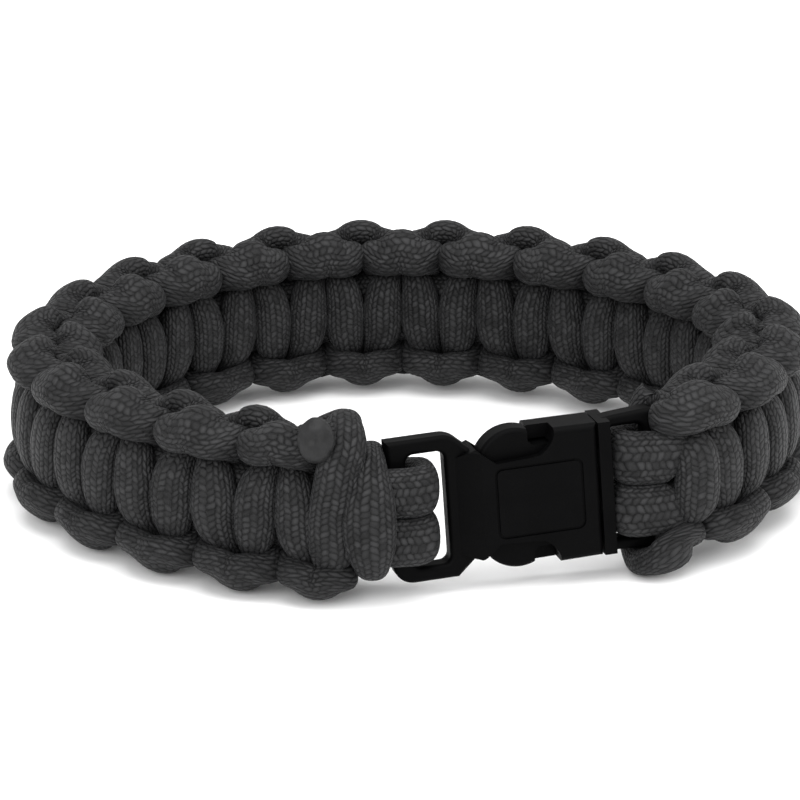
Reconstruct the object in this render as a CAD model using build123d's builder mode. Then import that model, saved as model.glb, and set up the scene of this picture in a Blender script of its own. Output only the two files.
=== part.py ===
from build123d import *
from math import cos, pi, radians, sin
import os

os.makedirs("parts", exist_ok=True)

# A woven cord bracelet with a plastic side-release buckle, closed, standing on its edge.
# Places on the band are given by three numbers in millimetres: along the middle line from
# the buckle's centre, up from the band's middle height, and out from the middle line.

# Driving dimensions of the closed loop
BUCKLE_RUN = 25.6        # straight part of the middle line, at the buckle
BUCKLE_YAW = 14.0        # degrees that the buckle is turned from the front
BUCKLE_PLACE = (12.78, -30.97)
BAND_MIDDLE = 10.29     # height of the band's middle above the floor
FLARE = 3.0              # degrees that the band's top edge leans outward
RISE = 0.65              # height gained from the buckle's centre to the end of its run
# Bends from the buckle round to the buckle again: turn in degrees, radius in millimetres
# The two without a radius are worked out, so that the loop closes
BENDS = [
    (36, 11.0),
    (30, 41.0),
    (44, 26.5),
    (45, None),
    (45, 37.0),
    (45, 39.5),
    (45, None),
    (37, 48.5),
    (33, 21.0),
]

# Driving dimensions of the weave
FIRST_CROSSING = 17.2    # along the middle line
HALF_KNOT = 5.015        # from one crossing to the next
LAST_CROSSING = 40
DRAWN_IN = 0.26          # how much closer the last crossings lie
DRAWN_IN_AFTER = 37
CLEAR_OF_PLUG = 16.25    # no edge pass lies nearer to the plug than this
CORE_ROUND = 1.8         # radius of a core strand inside the weave
CORE_UP = 1.85           # its height from the band's middle
CORE_STEP = 4.6          # from one section of the core to the next
SLIM = 0.2               # the cords are drawn this much slimmer all round, so that they keep clear
CORD_SIDES = 6

# Driving dimensions of the buckle
FRAME_HALF = 8.0         # half the height of both frames
FRAME_THICK = 2.6
SLOT_HALF = 6.3          # half the height of both slots
SOCKET_END = -15.5
SOCKET_SLOT = (-13.4, -9.2)
NECK = (-6.0, 6.2)
BODY_HALF = 7.45
BODY_THICK = 5.4
MOUTH = 7.4
PLUG_SLOT = (8.9, 12.9)
PLUG_END = 15.1
SEAM = 0.15              # gap between the two halves
WINDOW_BACK = 0.2        # where the side window ends in the body's back wall
WINDOW_FRONT = 2.5       # and its round end in the front wall
CAVITY = (-5.75, 6.0, 3.5)    # closed end, half height and thickness of the hollow
PRONG_THICK = 3.1
TONGUE = (-3.0, 0.9)     # tip and half height of the guide tongue
PANEL = (-4.2, 5.6, 4.0)  # start, end and half height of the blank panel
PANEL_LINE = 0.3         # width of the groove round the panel
PANEL_SUNK = 0.2
SOFT_EDGE = 0.6
BODY_EDGE = 0.8


def turn_shift(start, end, radius):
    return (radius * (sin(end) - sin(start)), radius * (cos(start) - cos(end)))


def closed_radii():
    """Radii of all the bends, with the two free ones solved so that the loop closes"""
    heading = radians(BUCKLE_YAW)
    left_x = BUCKLE_RUN * cos(heading)
    left_y = BUCKLE_RUN * sin(heading)
    free = []
    for turn, radius in BENDS:
        after = heading + radians(turn)
        if radius is None:
            free.append(turn_shift(heading, after, 1.0))
        else:
            shift = turn_shift(heading, after, radius)
            left_x += shift[0]
            left_y += shift[1]
        heading = after
    (ax, ay), (bx, by) = free
    size = ax * by - bx * ay
    solved = [(bx * left_y - by * left_x) / size, (ay * left_x - ax * left_y) / size]
    return [solved.pop(0) if radius is None else radius for turn, radius in BENDS]


def bend_table():
    """One row for each bend: where it starts and ends along the loop, its first point, heading, radius"""
    heading = radians(BUCKLE_YAW)
    at = BUCKLE_RUN / 2
    x = BUCKLE_PLACE[0] + at * cos(heading)
    y = BUCKLE_PLACE[1] + at * sin(heading)
    rows = []
    for (turn, free), radius in zip(BENDS, closed_radii()):
        after = heading + radians(turn)
        rows.append((at, at + radius * radians(turn), x, y, heading, radius))
        shift = turn_shift(heading, after, radius)
        x += shift[0]
        y += shift[1]
        at += radius * radians(turn)
        heading = after
    return rows


BEND_ROWS = bend_table()
LOOP = BEND_ROWS[-1][1] + BUCKLE_RUN / 2
print("middle line", round(LOOP, 2), "radii", [round(row[5], 2) for row in BEND_ROWS])


def middle_line(along):
    """Point and heading of the middle line"""
    along = (along + BUCKLE_RUN / 2) % LOOP - BUCKLE_RUN / 2
    if along <= BUCKLE_RUN / 2:
        heading = radians(BUCKLE_YAW)
        x = BUCKLE_PLACE[0] + along * cos(heading)
        return x, BUCKLE_PLACE[1] + along * sin(heading), heading
    for start, end, x, y, first, radius in BEND_ROWS:
        if along <= end:
            heading = first + (along - start) / radius
            shift = turn_shift(first, heading, radius)
            return x + shift[0], y + shift[1], heading


def lift(along):
    """The buckle's right end sits a little high and its left end low, evened out round the loop"""
    half = BUCKLE_RUN / 2
    along = (along + half) % LOOP - half
    if along <= half:
        return RISE * along / half
    return RISE * (1 - 2 * (along - half) / (LOOP - BUCKLE_RUN))


def on_band(along, up, out):
    """Place on the band, bent round the loop and leaning with its flare"""
    x, y, heading = middle_line(along)
    lean = radians(FLARE)
    level = out * cos(lean) - up * sin(lean)
    height = BAND_MIDDLE + lift(along) + out * sin(lean) + up * cos(lean)
    return Vector(x + level * sin(heading), y - level * cos(heading), height)


# Which way the broad face of a flattened cord looks
OUT = (0, 0, 1)
IN = (0, 0, -1)
UP = (0, 1, 0)
DOWN = (0, -1, 0)
AHEAD = (1, 0, 0)
BACK = (-1, 0, 0)


def between(first, second, share=1.0):
    return tuple(a + share * b for a, b in zip(first, second))


# A strand from the end of one crossing round the edge to the middle of the bump behind it
# along in half knots from the crossing, up towards the edge it runs to, out from the middle
# line, half its width, half its thickness, and its facing in degrees from straight out
EDGE_PASS = [
    (-0.02, 3.0, 3.2, 2.35, 1.50, 5),
    (-0.21, 4.4, 1.9, 1.40, 1.35, 60),
    (-0.23, 6.0, 0.0, 1.05, 2.00, 77),
    (-0.12, 7.9, -2.0, 1.60, 1.90, 113),
    (0.50, 7.9, -2.9, 2.40, 1.50, 134),
]


def crossing(count):
    """Place of a crossing along the loop"""
    drawn = DRAWN_IN * max(0.0, count - DRAWN_IN_AFTER) ** 2
    return max(CLEAR_OF_PLUG, FIRST_CROSSING + HALF_KNOT * count - drawn)


def crowding(count):
    """Share of its width that a strand keeps where the crossings are drawn together"""
    return 1 - 2 * DRAWN_IN * max(0.0, count - DRAWN_IN_AFTER) / HALF_KNOT


def edge_row(count, side, along, up, out, wide, thick, facing):
    face = (0, side * sin(radians(facing)), cos(radians(facing)))
    at = count + along
    return (crossing(at), side * up, out, wide * crowding(at), thick, face)


def leaving(count):
    """From a crossing to the middle of the next bump: even crossings run down, odd ones up"""
    side = 1 if count % 2 else -1
    return [edge_row(count, side, *row) for row in EDGE_PASS]


def arriving(count):
    """From the bump before a crossing to that crossing"""
    side = -1 if count % 2 else 1
    return [edge_row(count, side, -row[0], *row[1:]) for row in reversed(EDGE_PASS[:-1])]


def woven(first, last):
    rows = []
    for count in range(first, last):
        rows += leaving(count) + arriving(count + 1)
    return rows


def turned_over(rows):
    """The same strand turned half round the band's long axis"""
    return [(s, -up, -out, w, t, (f[0], -f[1], -f[2])) for s, up, out, w, t, f in rows]


def mirrored(rows):
    """The same strand with top and bottom exchanged"""
    return [(s, -up, out, w, t, (f[0], -f[1], f[2])) for s, up, out, w, t, f in rows]


# Rows of the hand-set stretches: along, up, out, half width, half thickness, facing
# The outer lacing leaves the plug's bar on the inside and climbs behind the frame's rail
OUTER_START = [
    (12.6, 2.60, -2.8, 2.0, 1.35, IN),
    (13.2, 2.75, -2.9, 1.8, 1.35, IN),
    (13.9, 4.00, -3.0, 1.5, 1.40, IN),
    (14.0, 5.20, -3.2, 1.5, 1.40, IN),
    (14.2, 6.60, -3.3, 1.7, 1.40, between(IN, UP, 0.4)),
    (15.3, 7.80, -3.1, 2.0, 1.40, between(IN, UP, 0.9)),
]
OUTER_FIRST = [
    (17.9, 2.80, 3.6, 1.9, 1.40, OUT),
    (17.8, -2.80, 3.7, 1.9, 1.40, OUT),
    (16.5, -5.05, 2.15, 1.0, 1.15, between(OUT, DOWN)),
]
# The inner lacing goes down behind the rail, round under it and out to the first lower bump
INNER_START = [
    (12.6, -2.60, -2.8, 2.0, 1.35, IN),
    (13.2, -2.75, -2.9, 1.8, 1.35, IN),
    (13.8, -3.90, -3.0, 1.5, 1.40, IN),
    (13.8, -5.20, -3.2, 1.5, 1.40, IN),
    (12.9, -7.60, -2.9, 1.6, 1.35, between(IN, DOWN, 0.8)),
    (12.6, -9.40, -0.4, 1.5, 1.25, DOWN),
    (13.1, -9.10, 2.0, 1.8, 1.40, between(DOWN, OUT, 0.6)),
    (14.4, -8.10, 3.3, 2.2, 1.40, between(DOWN, OUT, 0.9)),
]
LAST = crossing(LAST_CROSSING)
# The outer lacing loops over the other strand's end, runs down and is tucked in behind
OUTER_END = [
    (LAST + 0.3, 9.00, -2.2, 1.8, 1.50, between(UP, IN, 0.6)),
    (LAST + 0.6, 9.30, 0.2, 1.2, 1.50, UP),
    (LAST + 1.0, 7.90, 2.7, 1.2, 1.40, between(UP, OUT)),
    (LAST + 0.6, 5.00, 3.9, 1.7, 1.40, between(OUT, UP, 0.3)),
    (LAST, 0.00, 3.6, 1.95, 1.40, OUT),
    (LAST - 0.3, -3.60, 3.2, 2.0, 1.45, between(OUT, DOWN, 0.15)),
    (LAST - 1.0, -5.00, 1.9, 1.2, 1.35, between(DOWN, OUT, 0.6)),
    (LAST - 1.2, -6.20, 0.0, 0.9, 1.80, between(DOWN, OUT, 0.2)),
    (LAST - 0.6, -6.60, -2.2, 1.5, 1.60, between(DOWN, IN)),
    (LAST + 0.3, -6.20, -3.6, 1.6, 1.40, between(IN, DOWN, 0.3)),
    (LAST + 1.3, -5.20, -4.2, 1.5, 1.30, between(IN, DOWN, 0.1)),
]
# The inner lacing comes out over the top of the core and ends cut and melted
INNER_END = [
    (LAST - 0.1, 3.00, -3.2, 2.3, 1.45, between(IN, UP, 0.1)),
    (LAST - 1.0, 4.60, -1.9, 1.4, 1.30, between(UP, IN, 0.6)),
    (LAST - 1.1, 6.00, -0.1, 1.0, 1.50, between(UP, IN, 0.2)),
    (LAST - 1.4, 6.60, 1.8, 1.3, 1.50, between(UP, IN, 0.3)),
    (LAST - 1.8, 7.00, 4.0, 1.7, 1.80, between(UP, IN, 0.3)),
]
# Upper half of the core: round the plug's bar from behind, then into the weave
PLUG_LOOP = [
    (11.7, 2.55, -2.60, 2.3, 1.35, between(IN, BACK, 0.5)),
    (11.3, 2.55, -2.10, 2.3, 1.35, between(IN, BACK)),
    (11.15, 2.55, -0.90, 2.3, 1.35, BACK),
    (11.15, 2.55, 0.90, 2.3, 1.35, BACK),
    (11.5, 2.55, 2.35, 2.3, 1.35, between(OUT, BACK)),
    (12.9, 2.50, 2.90, 2.3, 1.35, OUT),
    (14.9, 2.35, 2.80, 2.2, 1.35, OUT),
    (15.8, 1.95, 1.90, 1.7, 1.35, OUT),
    (16.6, 1.90, 0.60, 1.7, 1.40, OUT),
    (17.4, 1.85, 0.05, 1.8, 1.65, OUT),
]
# Out of the weave, over the socket's bar, back through its slot and up round the edge
# into the bight that lies across both legs
HITCH = [
    (LOOP - 19.9, 1.90, 0.30, 1.8, 1.75, OUT),
    (LOOP - 18.2, 2.20, 1.50, 2.0, 1.50, OUT),
    (LOOP - 16.6, 2.50, 2.60, 2.3, 1.40, OUT),
    (LOOP - 13.6, 2.55, 2.90, 2.3, 1.35, OUT),
    (LOOP - 12.2, 2.55, 2.35, 2.3, 1.35, between(OUT, AHEAD)),
    (LOOP - 11.8, 2.55, 0.90, 2.3, 1.35, AHEAD),
    (LOOP - 11.8, 2.55, -0.90, 2.3, 1.35, AHEAD),
    (LOOP - 12.2, 2.55, -2.35, 2.3, 1.35, between(IN, AHEAD)),
    (LOOP - 13.6, 2.55, -2.90, 2.3, 1.35, IN),
    (LOOP - 15.2, 3.10, -3.00, 2.1, 1.35, IN),
    (LOOP - 16.6, 4.90, -3.00, 1.8, 1.35, between(IN, UP, 0.3)),
    (LOOP - 17.2, 6.90, -2.20, 1.65, 1.30, between(UP, IN)),
    (LOOP - 17.3, 7.80, 0.20, 1.65, 1.25, UP),
    (LOOP - 17.25, 7.00, 3.20, 1.8, 1.20, between(UP, OUT)),
    (LOOP - 17.15, 4.80, 4.90, 2.0, 1.15, between(OUT, UP, 0.25)),
    (LOOP - 17.1, 1.60, 5.10, 2.0, 1.10, OUT),
]
CORE_START = 18.6
CORE_END = LOOP - 21.8


def core_rows():
    steps = round((CORE_END - CORE_START) / CORE_STEP)
    step = (CORE_END - CORE_START) / steps
    inside = [(CORE_START + step * i, CORE_UP, 0, CORE_ROUND, CORE_ROUND, OUT) for i in range(steps + 1)]
    half = PLUG_LOOP + inside + HITCH
    return half + mirrored(reversed(half))


def outer_rows():
    first = arriving(0)[:-1] + OUTER_FIRST + leaving(0)[2:] + arriving(1)
    return OUTER_START + first + woven(1, LAST_CROSSING - 1) + leaving(LAST_CROSSING - 1) + OUTER_END


def inner_rows():
    return INNER_START + turned_over(arriving(0) + woven(0, LAST_CROSSING)) + INNER_END


def section(rows, index):
    """Corners of one section of a cord, square to its run and turned to its facing"""
    along, up, out, wide, thick, facing = rows[index]
    before = rows[max(index - 1, 0)]
    after = rows[min(index + 1, len(rows) - 1)]
    run = (Vector(*after[:3]) - Vector(*before[:3])).normalized()
    face = Vector(*facing)
    face = (face - run * face.dot(run)).normalized()
    across = run.cross(face)
    corners = []
    for corner in range(CORD_SIDES):
        angle = 2 * pi * (corner + 0.5) / CORD_SIDES
        offset = across * ((wide - SLIM) * cos(angle)) + face * ((thick - SLIM) * sin(angle))
        place = Vector(along, up, out) + offset
        corners.append(on_band(place.X, place.Y, place.Z))
    return corners


def flat(*corners):
    return Face(Wire.make_polygon(list(corners), close=True))


def cord(rows):
    """Closed body with flat faces through all the sections of a cord"""
    rings = [section(rows, index) for index in range(len(rows))]
    faces = []
    for ring, after in zip(rings, rings[1:]):
        for a, b, c, d in zip(ring, ring[1:] + ring[:1], after, after[1:] + after[:1]):
            if (d - a).length <= (c - b).length:
                faces += [flat(a, b, d), flat(a, d, c)]
            else:
                faces += [flat(a, b, c), flat(b, d, c)]
    for ring in (rings[0], rings[-1]):
        middle = sum(ring[1:], ring[0]) * (1 / CORD_SIDES)
        faces += [flat(middle, b, a) for a, b in zip(ring, ring[1:] + ring[:1])]
    body = Solid(Shell(faces))
    return body if body.volume > 0 else Solid(Shell([-face for face in faces]))


with BuildPart() as core_cord:
    add(cord(core_rows()))
core_cord.part.label = "core_cord"
export_step(core_cord.part, "parts/core_cord.step")

with BuildPart() as outer_lacing:
    add(cord(outer_rows()))
outer_lacing.part.label = "outer_lacing"
export_step(outer_lacing.part, "parts/outer_lacing.step")

with BuildPart() as inner_lacing:
    add(cord(inner_rows()))
inner_lacing.part.label = "inner_lacing"
export_step(inner_lacing.part, "parts/inner_lacing.step")


buckle_origin = Vector(BUCKLE_PLACE[0], BUCKLE_PLACE[1], BAND_MIDDLE)
buckle_run = (on_band(1, 0, 0) - on_band(-1, 0, 0)).normalized()
buckle_out = (on_band(0, 0, 1) - on_band(0, 0, -1)).normalized()
buckle_out = (buckle_out - buckle_run * buckle_out.dot(buckle_run)).normalized()
front = Plane(origin=buckle_origin, x_dir=buckle_run, z_dir=buckle_out)
side = Plane(origin=buckle_origin, x_dir=buckle_run, z_dir=buckle_run.cross(buckle_out))

# Upper half of each outline seen from the front: along, up
SOCKET_FRAME = [
    (SOCKET_END, FRAME_HALF),
    (-8.4, FRAME_HALF),
    (-6.2, 6.0),
]
SOCKET_BODY = [
    (-8.6, 5.2),
    NECK,
    (-4.6, 7.2),
    (0.0, BODY_HALF + 0.1),
    (MOUTH, BODY_HALF),
]
PLUG_FRAME = [
    (MOUTH + SEAM, BODY_HALF - 0.1),
    (9.5, 7.6),
    (PLUG_END, FRAME_HALF),
]
# Outer half of the body's profile seen from above: along, out
SOCKET_PROFILE = [
    (-9.0, 0.8),
    (-5.6, BODY_THICK / 2),
    (MOUTH + 1, BODY_THICK / 2),
]
# Side window cut in the body's walls, from the neck to where its end starts
WINDOW_OUTLINE = [
    (-6.0, 9.0),
    (-6.0, 6.2),
    (-3.9, 4.5),
    (WINDOW_BACK, 4.7),
    (WINDOW_BACK, 9.0),
]
WINDOW_ROUND = [
    (-1.0, 4.65),
    (WINDOW_FRONT - 1.6, 4.8),
    (WINDOW_FRONT - 0.35, 5.9),
    (WINDOW_FRONT, 9.0),
    (-1.0, 9.0),
]
# One prong seen from the front: its arm, then the swelling that fills the window
PRONG_ARM = [
    (-5.4, 5.5),
    (-5.1, 4.1),
    (0.8, 4.1),
    (MOUTH + SEAM, 4.2),
    (MOUTH + SEAM, 5.6),
    (0.5, 5.7),
    (-0.05, 6.2),
    (-0.05, 7.5),
]
PRONG_SWELLING = [(-0.05, 7.5), (-2.9, 7.6), (-5.4, 5.5)]
PRONG_EDGE = 0.6


def whole(half):
    """Both halves of an outline, as one closed row of points"""
    return half + [(along, -other) for along, other in reversed(half)]


def flat_edges(part):
    """The edges of a block that lie in its front and back faces"""
    return part.edges().filter_by(Axis((0, 0, 0), tuple(buckle_out)), reverse=True)


with BuildPart() as socket_frame:
    with BuildSketch(front) as outline:
        with BuildLine():
            Polyline(whole(SOCKET_FRAME), close=True)
        make_face()
        corners = outline.vertices().group_by(Axis((0, 0, 0), tuple(buckle_run)))
        fillet(corners[0], radius=2.2)
        fillet(outline.vertices().group_by(Axis((0, 0, 0), tuple(buckle_run)))[-2], radius=2.6)
        with Locations(((SOCKET_SLOT[0] + SOCKET_SLOT[1]) / 2, 0)):
            RectangleRounded(SOCKET_SLOT[1] - SOCKET_SLOT[0], 2 * SLOT_HALF, 0.9, mode=Mode.SUBTRACT)
    extrude(amount=FRAME_THICK / 2, both=True)
    fillet(flat_edges(socket_frame), radius=SOFT_EDGE)

with BuildPart() as socket_body:
    with BuildSketch(front) as outline:
        with BuildLine():
            Polyline(whole(SOCKET_BODY), close=True)
        make_face()
        fillet(outline.vertices().sort_by(Axis((0, 0, 0), tuple(buckle_run)))[:8], radius=1.0)
    extrude(amount=BODY_THICK / 2, both=True)
    fillet(flat_edges(socket_body), radius=BODY_EDGE)
    with BuildSketch(side):
        with BuildLine():
            Polyline(whole(SOCKET_PROFILE), close=True)
        make_face()
    extrude(amount=FRAME_HALF + 1, both=True, mode=Mode.INTERSECT)

with BuildPart() as buckle_socket:
    add(socket_body.part)
    with BuildSketch(front):
        with Locations((CAVITY[0] + 10, 0)):
            Rectangle(20, 2 * CAVITY[1])
    extrude(amount=CAVITY[2] / 2, both=True, mode=Mode.SUBTRACT)
    with BuildSketch(front):
        with BuildLine():
            Polyline(WINDOW_OUTLINE, close=True)
        make_face()
        mirror(about=Plane.XZ)
    extrude(amount=BODY_THICK, both=True, mode=Mode.SUBTRACT)
    with BuildSketch(front):
        with BuildLine():
            Polyline(WINDOW_ROUND[:2])
            Spline(WINDOW_ROUND[1:4])
            Polyline(WINDOW_ROUND[3:] + WINDOW_ROUND[:1])
        make_face()
        mirror(about=Plane.XZ)
    extrude(amount=BODY_THICK, mode=Mode.SUBTRACT)
    with BuildSketch(front.offset(BODY_THICK / 2)):
        with Locations(((PANEL[0] + PANEL[1]) / 2, 0)):
            RectangleRounded(PANEL[1] - PANEL[0], 2 * PANEL[2], 0.9)
            inner_wide = PANEL[1] - PANEL[0] - 2 * PANEL_LINE
            RectangleRounded(inner_wide, 2 * (PANEL[2] - PANEL_LINE), 0.6, mode=Mode.SUBTRACT)
    extrude(amount=-PANEL_SUNK, mode=Mode.SUBTRACT)
    add(socket_frame.part)
buckle_socket.part.label = "buckle_socket"
export_step(buckle_socket.part, "parts/buckle_socket.step")

with BuildPart() as prongs:
    with BuildSketch(front):
        with BuildLine():
            Polyline(PRONG_ARM)
            ThreePointArc(*PRONG_SWELLING)
        make_face()
        mirror(about=Plane.XZ)
    extrude(amount=PRONG_THICK / 2, both=True)
    fillet(prongs.edges().filter_by(GeomType.CIRCLE), radius=PRONG_EDGE)

with BuildPart() as buckle_plug:
    with BuildSketch(front) as outline:
        with BuildLine():
            Polyline(whole(PLUG_FRAME), close=True)
        make_face()
        fillet(outline.vertices().group_by(Axis((0, 0, 0), tuple(buckle_run)))[-1], radius=1.6)
        with Locations(((PLUG_SLOT[0] + PLUG_SLOT[1]) / 2, 0)):
            RectangleRounded(PLUG_SLOT[1] - PLUG_SLOT[0], 2 * SLOT_HALF, 0.9, mode=Mode.SUBTRACT)
    extrude(amount=FRAME_THICK / 2, both=True)
    fillet(flat_edges(buckle_plug), radius=SOFT_EDGE)
    with BuildSketch(front):
        with Locations(((MOUTH + SEAM + PLUG_SLOT[0]) / 2, 0)):
            Rectangle(PLUG_SLOT[0] - MOUTH - SEAM, 2 * BODY_HALF)
    extrude(amount=BODY_THICK / 2 - 0.15, both=True)
    add(prongs.part)
    with BuildSketch(front):
        with Locations(((TONGUE[0] + PLUG_SLOT[0] - 0.5) / 2, 0)):
            Rectangle(PLUG_SLOT[0] - 0.5 - TONGUE[0], 2 * TONGUE[1])
    extrude(amount=PRONG_THICK / 2, both=True)
buckle_plug.part.label = "buckle_plug"
export_step(buckle_plug.part, "parts/buckle_plug.step")
print("socket", buckle_socket.part.is_valid, len(buckle_socket.solids()), round(buckle_socket.part.volume, 1))
print("plug", buckle_plug.part.is_valid, len(buckle_plug.solids()), round(buckle_plug.part.volume, 1))
print("shared", round((buckle_socket.part & buckle_plug.part).volume, 3))
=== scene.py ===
# A woven cord bracelet with a closed side-release buckle, standing on its edge
from math import ceil, cos, pi, radians, sin

import bmesh
import bpy
from mathutils import Matrix, Vector, noise


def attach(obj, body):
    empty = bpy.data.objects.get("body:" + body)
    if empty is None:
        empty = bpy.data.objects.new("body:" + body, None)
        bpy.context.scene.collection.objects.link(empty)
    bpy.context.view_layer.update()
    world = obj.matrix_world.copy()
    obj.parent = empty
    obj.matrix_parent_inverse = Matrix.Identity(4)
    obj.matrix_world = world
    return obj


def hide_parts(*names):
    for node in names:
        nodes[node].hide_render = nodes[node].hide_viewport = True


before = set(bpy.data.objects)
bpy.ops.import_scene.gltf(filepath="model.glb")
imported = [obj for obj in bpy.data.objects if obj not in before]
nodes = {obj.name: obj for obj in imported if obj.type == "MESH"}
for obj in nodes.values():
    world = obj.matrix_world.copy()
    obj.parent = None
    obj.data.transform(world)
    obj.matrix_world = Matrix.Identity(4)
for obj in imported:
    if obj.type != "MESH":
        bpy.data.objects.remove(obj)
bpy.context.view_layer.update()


# The loop: a closed band of drawn-up cord. Its middle line runs straight through the buckle
# and then round the wrist in nine arcs, and the band leans a little outward at its top.
# Places on the band are in millimetres: along it from the buckle's centre, up, and out.
MILLIMETRE = 0.001
BUCKLE_RUN = 25.6
BUCKLE_YAW = 14.0
BUCKLE_PLACE = (12.78, -30.97)
BAND_MIDDLE = 10.29
FLARE = 3.0
RISE = 0.65
BENDS = [
    # turn in degrees, radius in millimetres; the two without one are worked out
    (36, 11.0),
    (30, 41.0),
    (44, 26.5),
    (45, None),
    (45, 37.0),
    (45, 39.5),
    (45, None),
    (37, 48.5),
    (33, 21.0),
]


def turn_shift(start, end, radius):
    return (radius * (sin(end) - sin(start)), radius * (cos(start) - cos(end)))


def closed_radii():
    """Radii of all the bends, with the two free ones solved so that the loop closes"""
    heading = radians(BUCKLE_YAW)
    left_x = BUCKLE_RUN * cos(heading)
    left_y = BUCKLE_RUN * sin(heading)
    free = []
    for turn, radius in BENDS:
        after = heading + radians(turn)
        if radius is None:
            free.append(turn_shift(heading, after, 1.0))
        else:
            shift = turn_shift(heading, after, radius)
            left_x += shift[0]
            left_y += shift[1]
        heading = after
    (ax, ay), (bx, by) = free
    size = ax * by - bx * ay
    solved = [(bx * left_y - by * left_x) / size, (ay * left_x - ax * left_y) / size]
    return [solved.pop(0) if radius is None else radius for turn, radius in BENDS]


def bend_table():
    """One row for each bend: its start and end along the loop, first point, heading, radius"""
    heading = radians(BUCKLE_YAW)
    at = BUCKLE_RUN / 2
    x = BUCKLE_PLACE[0] + at * cos(heading)
    y = BUCKLE_PLACE[1] + at * sin(heading)
    rows = []
    for (turn, _), radius in zip(BENDS, closed_radii()):
        after = heading + radians(turn)
        rows.append((at, at + radius * radians(turn), x, y, heading, radius))
        shift = turn_shift(heading, after, radius)
        x += shift[0]
        y += shift[1]
        at += radius * radians(turn)
        heading = after
    return rows


BEND_ROWS = bend_table()
LOOP = BEND_ROWS[-1][1] + BUCKLE_RUN / 2


def middle_line(along):
    """Point and heading of the middle line"""
    along = (along + BUCKLE_RUN / 2) % LOOP - BUCKLE_RUN / 2
    if along <= BUCKLE_RUN / 2:
        heading = radians(BUCKLE_YAW)
        x = BUCKLE_PLACE[0] + along * cos(heading)
        return x, BUCKLE_PLACE[1] + along * sin(heading), heading
    for start, end, x, y, first, radius in BEND_ROWS:
        if along <= end:
            heading = first + (along - start) / radius
            shift = turn_shift(first, heading, radius)
            return x + shift[0], y + shift[1], heading


def lift(along):
    """The buckle's right end sits a little high and its left end low, evened out round the loop"""
    half = BUCKLE_RUN / 2
    along = (along + half) % LOOP - half
    if along <= half:
        return RISE * along / half
    return RISE * (1 - 2 * (along - half) / (LOOP - BUCKLE_RUN))


def on_band(along, up, out):
    """Place on the band in metres, bent round the loop and leaning with its flare"""
    x, y, heading = middle_line(along)
    lean = radians(FLARE)
    level = out * cos(lean) - up * sin(lean)
    height = BAND_MIDDLE + lift(along) + out * sin(lean) + up * cos(lean)
    return Vector((x + level * sin(heading), y - level * cos(heading), height)) * MILLIMETRE


# The core cord: black nylon cord, braided over a filled core. Its middle is hitched to the
# buckle's socket, both halves run side by side all round inside the weave, and its ends go
# round the plug's bar. It also brings the braid's mesh and its finish, which all cords share.
OUT = (0, 0, 1)
IN = (0, 0, -1)
UP = (0, 1, 0)
DOWN = (0, -1, 0)
AHEAD = (1, 0, 0)
BACK = (-1, 0, 0)


def between(first, second, share=1.0):
    return tuple(a + share * b for a, b in zip(first, second))


def mirrored(rows):
    """The same strand with top and bottom exchanged"""
    return [(s, -up, out, w, t, (f[0], -f[1], f[2])) for s, up, out, w, t, f in rows]


PLUG_LOOP = [
    # along, up, out, half width, half thickness, the way that the flat side faces
    (11.7, 2.70, -2.60, 2.5, 1.35, between(IN, BACK, 0.5)),
    (11.0, 2.80, -2.10, 2.6, 1.35, between(IN, BACK)),
    (10.35, 2.85, -0.90, 2.75, 1.35, BACK),
    (10.35, 2.90, 0.90, 2.8, 1.35, BACK),
    (10.9, 2.92, 2.25, 2.8, 1.35, between(OUT, BACK)),
    (12.6, 2.90, 2.85, 2.8, 1.35, OUT),
    (14.8, 2.75, 2.80, 2.65, 1.35, OUT),
    (15.9, 2.10, 1.90, 1.9, 1.35, OUT),
    (16.6, 1.90, 0.60, 1.7, 1.40, OUT),
    (17.4, 1.85, 0.05, 1.8, 1.65, OUT),
]
HITCH = [
    (LOOP - 19.9, 1.90, 0.30, 1.8, 1.75, OUT),
    (LOOP - 18.2, 2.20, 1.50, 2.0, 1.50, OUT),
    (LOOP - 16.6, 2.65, 2.60, 2.5, 1.40, OUT),
    (LOOP - 13.6, 2.70, 2.80, 2.6, 1.35, OUT),
    (LOOP - 12.0, 2.70, 2.25, 2.6, 1.35, between(OUT, AHEAD)),
    (LOOP - 11.6, 2.70, 0.90, 2.55, 1.35, AHEAD),
    (LOOP - 11.6, 2.65, -0.90, 2.5, 1.35, AHEAD),
    (LOOP - 12.2, 2.55, -2.35, 2.3, 1.35, between(IN, AHEAD)),
    (LOOP - 13.6, 2.55, -2.90, 2.3, 1.35, IN),
    (LOOP - 15.2, 3.10, -3.00, 2.1, 1.35, IN),
    (LOOP - 16.6, 4.60, -3.00, 1.8, 1.35, between(IN, UP, 0.3)),
    (LOOP - 17.2, 5.70, -2.20, 1.55, 1.30, between(UP, IN)),
    (LOOP - 17.2, 6.10, 0.20, 1.30, 1.25, UP),
    (LOOP - 17.3, 5.40, 2.80, 1.45, 1.20, between(UP, OUT)),
    (LOOP - 17.4, 3.50, 4.30, 1.9, 1.15, between(OUT, UP, 0.25)),
    (LOOP - 17.5, 1.30, 4.75, 2.2, 1.15, OUT),
]
CORE_START = 18.6
CORE_END = LOOP - 21.8
CORE_STEP = 4.6
CORE_UP = 2.1
CORE_ROUND = 2.2


def core_rows():
    steps = round((CORE_END - CORE_START) / CORE_STEP)
    step = (CORE_END - CORE_START) / steps
    places = [CORE_START + step * i for i in range(steps + 1)]
    inside = [(place, CORE_UP, 0, CORE_ROUND, CORE_ROUND, OUT) for place in places]
    half = PLUG_LOOP + inside + HITCH
    return half + mirrored(reversed(half))


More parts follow.
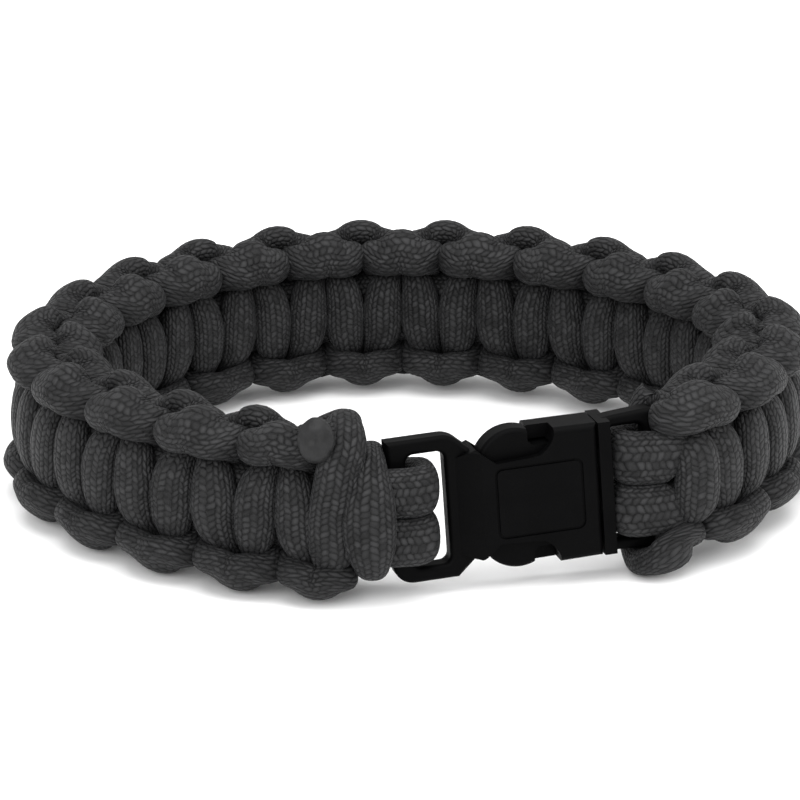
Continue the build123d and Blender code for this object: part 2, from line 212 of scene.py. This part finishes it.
SHEATH_COLUMNS = 22      # stitches round the cord
LUMP = 0.66              # length of one stitch of the sheath along the cord
STATION = 0.42           # the mesh has a ring of points this often
FINE_STEPS = 12          # points between two rows, from which the rings are picked
CORD_FACES = 28
PRESSED = 0.14           # the strands press this far into each other's sheaths
SQUARED = 0.16           # a drawn strand is a little squarer than an ellipse
# Rings of a cord's end: how far ahead of it in half thicknesses, share of its full size
ROUNDED_END = [(-0.9, 0.25), (-0.75, 0.55), (-0.45, 0.85), (-0.15, 0.97)]


def stations(rows):
    """Evenly spaced sections along the smooth line through all the rows of a cord"""
    rows = [Vector((s, up, out, w, t) + tuple(face)) for s, up, out, w, t, face in rows]
    rows = [rows[0] * 2 - rows[1]] + rows + [rows[-1] * 2 - rows[-2]]
    fine = []
    for before, start, end, after in zip(rows, rows[1:], rows[2:], rows[3:]):
        for i in range(FINE_STEPS):
            t = i / FINE_STEPS
            curve = 2 * before - 5 * start + 4 * end - after
            twist = 3 * start - before - 3 * end + after
            fine.append(0.5 * (2 * start + (end - before) * t + curve * t * t + twist * t ** 3))
    fine.append(rows[-2])
    reach = [0.0]
    for a, b in zip(fine, fine[1:]):
        reach.append(reach[-1] + (on_band(*b[:3]) - on_band(*a[:3])).length / MILLIMETRE)
    count = ceil(reach[-1] / STATION)
    even = []
    at = 0
    for i in range(count + 1):
        want = reach[-1] * i / count
        while at < len(fine) - 2 and reach[at + 1] < want:
            at += 1
        share = (want - reach[at]) / (reach[at + 1] - reach[at])
        even.append(fine[at].lerp(fine[at + 1], min(max(share, 0), 1)))
    return even, reach[-1]


def ring_places(row, run, shrink, ahead):
    """Points of one ring of the cord, square to its run and turned to its facing"""
    face = Vector(row[5:8])
    face = (face - run * face.dot(run)).normalized()
    across = run.cross(face)
    wide, thick = row[3] + PRESSED, row[4] + PRESSED
    middle = Vector(row[:3]) + run * (ahead * thick)
    places = []
    for corner in range(CORD_FACES):
        angle = 2 * pi * corner / CORD_FACES - pi / 2
        side, rise = cos(angle), sin(angle)
        side *= abs(side) ** -SQUARED if side else 0
        rise *= abs(rise) ** -SQUARED if rise else 0
        place = middle + (across * (wide * side) + face * (thick * rise)) * shrink
        places.append(on_band(*place))
    return places


def finished(name, shape):
    """The object of a shape, with its place in its mesh"""
    mesh = bpy.data.meshes.new(name)
    shape.to_mesh(mesh)
    shape.free()
    piece = bpy.data.objects.new(name, mesh)
    bpy.context.collection.objects.link(piece)
    return piece


def braided_cord(name, rows):
    """A closed tube through a cord's rows, with the braid's stitches counted in its UV map"""
    line, length = stations(rows)
    runs = []
    for i in range(len(line)):
        ahead = Vector(line[min(i + 1, len(line) - 1)][:3]) - Vector(line[max(i - 1, 0)][:3])
        runs.append(ahead.normalized())
    rings = [ring_places(line[0], runs[0], shrink, back) for back, shrink in ROUNDED_END]
    rings += [ring_places(row, run, 1.0, 0.0) for row, run in zip(line, runs)]
    end_rings = reversed(ROUNDED_END)
    rings += [ring_places(line[-1], runs[-1], shrink, -back) for back, shrink in end_rings]
    tube = bmesh.new()
    tube.loops.layers.uv.new("UVMap")
    bmesh.ops.create_grid(
        tube, x_segments=CORD_FACES, y_segments=len(rings) - 1, size=0.5, calc_uvs=True
    )
    for vert in tube.verts:
        corner = round((vert.co.x + 0.5) * CORD_FACES) % CORD_FACES
        vert.co = rings[round((vert.co.y + 0.5) * (len(rings) - 1))][corner]
    layer = tube.loops.layers.uv.active
    stitches = round(length / LUMP)
    for face in tube.faces:
        face.smooth = True
        for loop in face.loops:
            loop[layer].uv = (loop[layer].uv.x * SHEATH_COLUMNS, loop[layer].uv.y * stitches)
    bmesh.ops.remove_doubles(tube, verts=tube.verts, dist=1e-7)
    bmesh.ops.holes_fill(tube, edges=[edge for edge in tube.edges if edge.is_boundary], sides=0)
    bmesh.ops.recalc_face_normals(tube, faces=tube.faces)
    return finished(name, tube)


class Nodes:
    """Short ways to add and join the nodes of one material"""

    def __init__(self, name):
        self.material = bpy.data.materials.new(name)
        self.material.use_nodes = True
        self.tree = self.material.node_tree
        self.shader = self.tree.nodes["Principled BSDF"]

    def add(self, kind, **settings):
        node = self.tree.nodes.new(kind)
        for key, value in settings.items():
            setattr(node, key, value)
        return node

    def join(self, source, target):
        self.tree.links.new(source, target)

    def math(self, operation, *values, clamp=False):
        node = self.add("ShaderNodeMath", operation=operation, use_clamp=clamp)
        for socket, value in zip(node.inputs, values):
            if isinstance(value, (int, float)):
                socket.default_value = value
            else:
                self.join(value, socket)
        return node.outputs[0]

    def noise(self, scale, detail):
        node = self.add("ShaderNodeTexNoise")
        node.inputs["Scale"].default_value = scale
        node.inputs["Detail"].default_value = detail
        self.join(self.add("ShaderNodeTexCoord").outputs["Object"], node.inputs["Vector"])
        return node

    def relief(self, height, strength, depth):
        bump = self.add("ShaderNodeBump")
        bump.inputs["Strength"].default_value = strength
        bump.inputs["Distance"].default_value = depth
        self.join(height, bump.inputs["Height"])
        self.join(bump.outputs["Normal"], self.shader.inputs["Normal"])

    def shades(self, factor, dark_at, dark, light_at, light):
        """Base colour between a dark and a light one"""
        ramp = self.add("ShaderNodeValToRGB")
        ramp.color_ramp.elements[0].position = dark_at
        ramp.color_ramp.elements[0].color = (*dark, 1)
        ramp.color_ramp.elements[1].position = light_at
        ramp.color_ramp.elements[1].color = (*light, 1)
        self.join(factor, ramp.inputs["Fac"])
        self.join(ramp.outputs["Color"], self.shader.inputs["Base Color"])


# Each stitch of the sheath is a short slanting bundle of filaments. Neighbouring columns
# slant opposite ways, which makes the row of V shapes on real cord.
WANDER = (0.5, 0.7)      # how unevenly the stitches lie, in columns and in stitches
STITCH_LEAN = 0.4
STITCH_CROWN = 2.4       # the higher, the flatter a stitch is on top
STITCH_DEPTH = 0.00017   # in metres
ABOVE_ZERO = 1000.0      # keeps the count of stitches positive


def braided_nylon():
    n = Nodes("braided black nylon")
    wander = n.add("ShaderNodeSeparateXYZ")
    n.join(n.noise(600.0, 1.0).outputs["Color"], wander.inputs[0])
    uv = n.add("ShaderNodeSeparateXYZ")
    n.join(n.add("ShaderNodeUVMap", uv_map="UVMap").outputs["UV"], uv.inputs[0])
    aside = n.math("MULTIPLY_ADD", wander.outputs["X"], WANDER[0], uv.outputs["X"])
    columns = n.math("ADD", aside, -WANDER[0] / 2)
    ahead = n.math("MULTIPLY_ADD", wander.outputs["Y"], WANDER[1], uv.outputs["Y"])
    rows = n.math("ADD", ahead, -WANDER[1] / 2)
    odd = n.math("MODULO", n.math("FLOOR", columns), 2.0)
    slant = n.math("MULTIPLY_ADD", odd, -2.0, 1.0)
    across = n.math("SUBTRACT", n.math("FRACT", columns), 0.5)
    leaning = n.math("MULTIPLY_ADD", n.math("MULTIPLY", across, slant), STITCH_LEAN, rows)
    shifted = n.math("ADD", n.math("MULTIPLY_ADD", odd, 0.5, leaning), ABOVE_ZERO)
    along = n.math("SUBTRACT", n.math("FRACT", shifted), 0.5)
    side = n.math("POWER", n.math("ABSOLUTE", n.math("MULTIPLY", across, 2.0)), STITCH_CROWN)
    end = n.math("POWER", n.math("ABSOLUTE", n.math("MULTIPLY", along, 2.0)), STITCH_CROWN)
    rim = n.math("MULTIPLY", n.math("ADD", side, end), 0.8)
    stitch_relief_and_shade = n.math("SUBTRACT", 1.0, rim, clamp=True)

    fibres_and_sheen = n.noise(5200.0, 3.0)
    patches = n.noise(420.0, 3.0)
    n.relief(n.math("MULTIPLY_ADD", fibres_and_sheen.outputs["Fac"], 0.3, stitch_relief_and_shade), 1.0, STITCH_DEPTH)

    cell = n.add("ShaderNodeCombineXYZ")
    n.join(n.math("FLOOR", columns), cell.inputs[0])
    n.join(n.math("FLOOR", shifted), cell.inputs[1])
    each = n.add("ShaderNodeTexWhiteNoise", noise_dimensions="2D")
    n.join(cell.outputs[0], each.inputs["Vector"])
    own = n.math("MULTIPLY_ADD", each.outputs["Value"], 0.95, 0.35)

    # The stitch heights also drive the base colour: a painted highlight on each stitch's crown and
    # painted shade in the gaps between stitches, scaled by each stitch's own random tone.
    stitch_relief_and_shade = n.math("MULTIPLY", stitch_relief_and_shade, own)
    # The fibre noise also lightens the base colour in fine specks, a painted sheen of the fuzz;
    # the broad patches added next are random tone.
    shade = n.math("MULTIPLY_ADD", fibres_and_sheen.outputs["Fac"], 0.35, n.math("MULTIPLY", stitch_relief_and_shade, 0.65))
    shade = n.math("MULTIPLY_ADD", n.math("SUBTRACT", patches.outputs["Fac"], 0.5), 0.5, shade)
    n.shades(shade, 0.12, (0.0006, 0.0006, 0.0007), 0.95, (0.0235, 0.0235, 0.0243))
    n.shader.inputs["Roughness"].default_value = 0.62
    n.shader.inputs["Specular IOR Level"].default_value = 0.16
    n.shader.inputs["Sheen Weight"].default_value = 0.02
    n.shader.inputs["Sheen Roughness"].default_value = 0.45
    n.shader.inputs["Sheen Tint"].default_value = (0.75, 0.76, 0.8, 1)
    return n.material


nylon = braided_nylon()
core_cord = braided_cord("core_strand", core_rows())
core_cord.data.materials.append(nylon)
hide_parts("core_cord")
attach(core_cord, "root")


# The outer lacing: the same cord, woven to and fro over the front of the core from the plug
# to the socket. It starts behind the plug's bar and is tucked in behind the last crossing.
FIRST_CROSSING = 17.2
HALF_KNOT = 5.015
LAST_CROSSING = 40
DRAWN_IN = 0.26
DRAWN_IN_AFTER = 37
CLEAR_OF_PLUG = 15.2
PULLED_IN = 2.0          # the first crossings are pulled this far towards the plug
PULLED_UNTIL = 5
PRESSED_FLAT = 0.93      # the bumps under the band stand out less, pressed by the floor
EDGE_PASS = [
    # half knots from the crossing, up, out, half width, half thickness, degrees it is turned
    (0.00, 0.8, 3.25, 2.45, 1.35, 2),
    (-0.06, 3.0, 2.9, 2.15, 1.35, 12),
    (-0.19, 4.6, 1.7, 1.50, 1.40, 55),
    (-0.23, 5.9, 0.0, 1.40, 2.00, 77),
    (-0.14, 6.8, -1.9, 2.15, 1.85, 106),
    (0.12, 7.25, -2.75, 2.60, 1.55, 122),
    (0.50, 7.85, -2.9, 2.80, 1.60, 128),
]


def crossing(count):
    """Place of a crossing along the loop"""
    drawn = DRAWN_IN * max(0.0, count - DRAWN_IN_AFTER) ** 2
    drawn += PULLED_IN * max(0.0, 1 - count / PULLED_UNTIL) ** 2
    return max(CLEAR_OF_PLUG, FIRST_CROSSING + HALF_KNOT * count - drawn)


def crowding(count):
    """Share of its width that a strand keeps where the crossings are drawn together"""
    return 1 - 2 * DRAWN_IN * max(0.0, count - DRAWN_IN_AFTER) / HALF_KNOT


def edge_row(count, side, along, up, out, wide, thick, facing):
    face = (0, side * sin(radians(facing)), cos(radians(facing)))
    at = count + along
    return (crossing(at), side * up, out, wide * crowding(at), thick, face)


def leaving(count):
    """From a crossing to the middle of the next bump: even crossings run down, odd ones up"""
    side = 1 if count % 2 else -1
    return [edge_row(count, side, *row) for row in EDGE_PASS]


def arriving(count):
    """From the bump before a crossing to that crossing"""
    side = -1 if count % 2 else 1
    return [edge_row(count, side, -row[0], *row[1:]) for row in reversed(EDGE_PASS[:-1])]


def woven(first, last):
    rows = []
    for count in range(first, last):
        rows += leaving(count) + arriving(count + 1)
    return rows


OUTER_START = [
    (12.6, 2.60, -2.8, 2.0, 1.35, IN),
    (13.2, 2.75, -2.9, 1.8, 1.35, IN),
    (13.9, 4.00, -3.0, 1.5, 1.40, IN),
    (14.0, 5.20, -3.2, 1.5, 1.40, IN),
    (14.2, 6.60, -3.3, 1.7, 1.40, between(IN, UP, 0.4)),
    (15.3, 7.80, -3.1, 2.0, 1.40, between(IN, UP, 0.9)),
]
OUTER_FIRST = [
    (16.9, 2.80, 3.6, 1.9, 1.40, OUT),
    (16.8, -2.80, 3.7, 1.9, 1.40, OUT),
    (16.5, -5.05, 2.15, 1.0, 1.15, between(OUT, DOWN)),
]
LAST = crossing(LAST_CROSSING)
OUTER_END = [
    (LAST + 0.3, 9.00, -2.2, 1.8, 1.50, between(UP, IN, 0.6)),
    (LAST + 0.6, 9.30, 0.2, 1.9, 1.50, UP),
    (LAST + 0.9, 7.90, 2.7, 2.0, 1.40, between(UP, OUT)),
    (LAST + 0.3, 5.00, 3.9, 1.9, 1.40, between(OUT, UP, 0.3)),
    (LAST - 0.3, 0.00, 3.8, 1.95, 1.45, OUT),
    (LAST - 0.3, -3.60, 3.2, 2.0, 1.45, between(OUT, DOWN, 0.15)),
    (LAST - 1.0, -5.00, 1.9, 1.2, 1.35, between(DOWN, OUT, 0.6)),
    (LAST - 1.2, -6.20, 0.0, 0.9, 1.80, between(DOWN, OUT, 0.2)),
    (LAST - 0.6, -6.60, -2.2, 1.5, 1.60, between(DOWN, IN)),
    (LAST + 0.3, -6.20, -3.6, 1.6, 1.40, between(IN, DOWN, 0.3)),
    (LAST + 1.3, -5.20, -4.2, 1.5, 1.30, between(IN, DOWN, 0.1)),
]


def settled(rows):
    return [(s, up * PRESSED_FLAT if up < 0 else up, *rest) for s, up, *rest in rows]


def outer_rows():
    first = arriving(0)[:-2] + OUTER_FIRST + leaving(0)[3:] + arriving(1)
    weave = first + woven(1, LAST_CROSSING - 1) + leaving(LAST_CROSSING - 1)
    return OUTER_START + settled(weave) + OUTER_END


outer_cord = braided_cord("outer_strand", outer_rows())
outer_cord.data.materials.append(nylon)
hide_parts("outer_lacing")
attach(outer_cord, "root")


# The inner lacing: the other end of the same cord. It crosses the core behind where the
# outer one crosses in front, and comes out over the top beside the socket.
INNER_START = [
    (12.6, -2.60, -2.8, 2.0, 1.35, IN),
    (13.2, -2.75, -2.9, 1.8, 1.35, IN),
    (13.8, -3.90, -3.0, 1.5, 1.40, IN),
    (13.8, -5.20, -3.2, 1.5, 1.40, IN),
    (12.9, -7.60, -2.9, 1.6, 1.35, between(IN, DOWN, 0.8)),
    (12.6, -9.40, -0.4, 1.5, 1.25, DOWN),
    (13.1, -9.10, 2.0, 1.8, 1.40, between(DOWN, OUT, 0.6)),
    (14.4, -8.10, 3.3, 2.2, 1.40, between(DOWN, OUT, 0.9)),
]
INNER_END = [
    (LAST - 0.1, 3.00, -3.2, 2.3, 1.45, between(IN, UP, 0.1)),
    (LAST - 1.0, 5.00, -1.9, 1.4, 1.30, between(UP, IN, 0.6)),
    (LAST - 1.2, 7.00, -0.3, 1.2, 1.50, between(UP, IN, 0.2)),
    (LAST - 1.4, 8.20, 1.3, 1.6, 1.75, between(UP, IN, 0.3)),
    (LAST - 1.5, 8.70, 2.7, 1.65, 1.95, between(UP, IN, 0.1)),
]


def turned_over(rows):
    """The same strand turned half round the band's long axis"""
    return [(s, -up, -out, w, t, (f[0], -f[1], -f[2])) for s, up, out, w, t, f in rows]


def inner_rows():
    return INNER_START + settled(turned_over(arriving(0) + woven(0, LAST_CROSSING))) + INNER_END


inner_cord = braided_cord("inner_strand", inner_rows())
inner_cord.data.materials.append(nylon)
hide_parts("inner_lacing")
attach(inner_cord, "root")


# The melted end: where the inner lacing was cut, its nylon is melted with a flame and pressed
# flat, which leaves a smooth dull button over the last bump.
def melted_nylon():
    n = Nodes("melted black nylon")
    dents = n.noise(900.0, 3.0).outputs["Fac"]
    n.relief(dents, 0.6, 0.00025)
    n.shades(dents, 0.3, (0.0065, 0.0065, 0.0067), 0.7, (0.0130, 0.0130, 0.0134))
    n.shader.inputs["Roughness"].default_value = 0.5
    n.shader.inputs["Specular IOR Level"].default_value = 0.2
    return n.material


MELTED_SIZE = (1.7, 2.5, 1.1)    # half sizes along, up and out
MELTED_PLACE = (LAST - 1.5, 9.0, 4.5)
button = bmesh.new()
bmesh.ops.create_icosphere(button, subdivisions=5, radius=1.0)
for vert in button.verts:
    dent = 0.05 * noise.noise(vert.co * 1.7) + 0.02 * noise.noise(vert.co * 4.5)
    dimple = 0.22 * max(0.0, 1 - ((vert.co.x + 0.1) ** 2 + (vert.co.y - 0.15) ** 2) / 0.09)
    place = Vector(MELTED_PLACE) + Vector(
        [size * value * (1 + dent) for size, value in zip(MELTED_SIZE, vert.co)]
    )
    place.z -= dimple * (vert.co.z > 0)
    vert.co = on_band(*place)
for face in button.faces:
    face.smooth = True
bmesh.ops.recalc_face_normals(button, faces=button.faces)
melted_end = finished("melted_end", button)
melted_end.data.materials.append(melted_nylon())
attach(melted_end, "root")


# The buckle: both halves are injection moulded in black acetal, with a fine spark-eroded
# grain, and their roughness and tone vary a little in broad patches.
def moulded_black():
    n = Nodes("moulded black plastic")
    n.relief(n.noise(5500.0, 2.0).outputs["Fac"], 0.5, 0.00002)
    wear = n.noise(260.0, 4.0).outputs["Fac"]
    n.join(n.math("MULTIPLY_ADD", wear, 0.16, 0.42), n.shader.inputs["Roughness"])
    n.shades(wear, 0.3, (0.0006, 0.0006, 0.0007), 0.75, (0.0013, 0.0013, 0.0014))
    n.shader.inputs["Specular IOR Level"].default_value = 0.035
    return n.material


acetal = moulded_black()
for name in ("buckle_socket", "buckle_plug"):
    half = nodes[name]
    for place in half.material_slots:
        place.material = acetal


# The studio: a pale seamless floor, broad soft lights from above and in front, and the
# camera of the photograph.
def floor_paint():
    n = Nodes("pale floor")
    n.shader.inputs["Base Color"].default_value = (0.93, 0.93, 0.93, 1)
    n.shader.inputs["Roughness"].default_value = 0.9
    n.shader.inputs["Specular IOR Level"].default_value = 0.1
    return n.material


FLOOR_HALF = 3.0
FLOOR_BELOW = 0.00002    # keeps the floor just clear of the lowest solid
sheet = bmesh.new()
bmesh.ops.create_grid(sheet, x_segments=1, y_segments=1, size=FLOOR_HALF)
ground = finished("floor", sheet)
ground.location.z = -FLOOR_BELOW
ground.data.materials.append(floor_paint())

LAMPS = [
    # name, place and aim in metres, size in metres, power in watts
    ("top_softbox", (0.05, -0.15, 0.9), (0, 0, 0), 0.9, 9.0),
    ("front_softbox", (-0.35, -0.9, 0.55), (0, 0, 0.01), 0.7, 7.0),
    ("right_softbox", (0.9, -0.3, 0.5), (0, 0, 0.01), 0.6, 4.0),
]
for name, place, aim, size, power in LAMPS:
    lamp = bpy.data.lights.new(name, "AREA")
    lamp.size = size
    lamp.energy = power
    holder = bpy.data.objects.new(name, lamp)
    holder.location = place
    holder.rotation_euler = (Vector(aim) - Vector(place)).to_track_quat("-Z", "Y").to_euler()
    bpy.context.collection.objects.link(holder)

world = bpy.data.worlds.new("studio") if not bpy.context.scene.world else bpy.context.scene.world
bpy.context.scene.world = world
world.use_nodes = True
world.node_tree.nodes["Background"].inputs["Color"].default_value = (1, 1, 1, 1)
world.node_tree.nodes["Background"].inputs["Strength"].default_value = 0.9
bpy.context.scene.view_settings.view_transform = "Standard"

CAMERA_PLACE = (-0.00087, -0.49212, 0.17879)
CAMERA_DOWN = 18.9
CAMERA_ROLL = -0.45
lens = bpy.data.cameras.new("camera")
lens.sensor_width = 36.0
lens.lens = 205.6
lens.clip_start = 0.01
viewer = bpy.data.objects.new("camera", lens)
viewer.matrix_world = (
    Matrix.Translation(CAMERA_PLACE)
    @ Matrix.Rotation(radians(90 - CAMERA_DOWN), 4, "X")
    @ Matrix.Rotation(radians(CAMERA_ROLL), 4, "Z")
)
bpy.context.collection.objects.link(viewer)
bpy.context.scene.camera = viewer
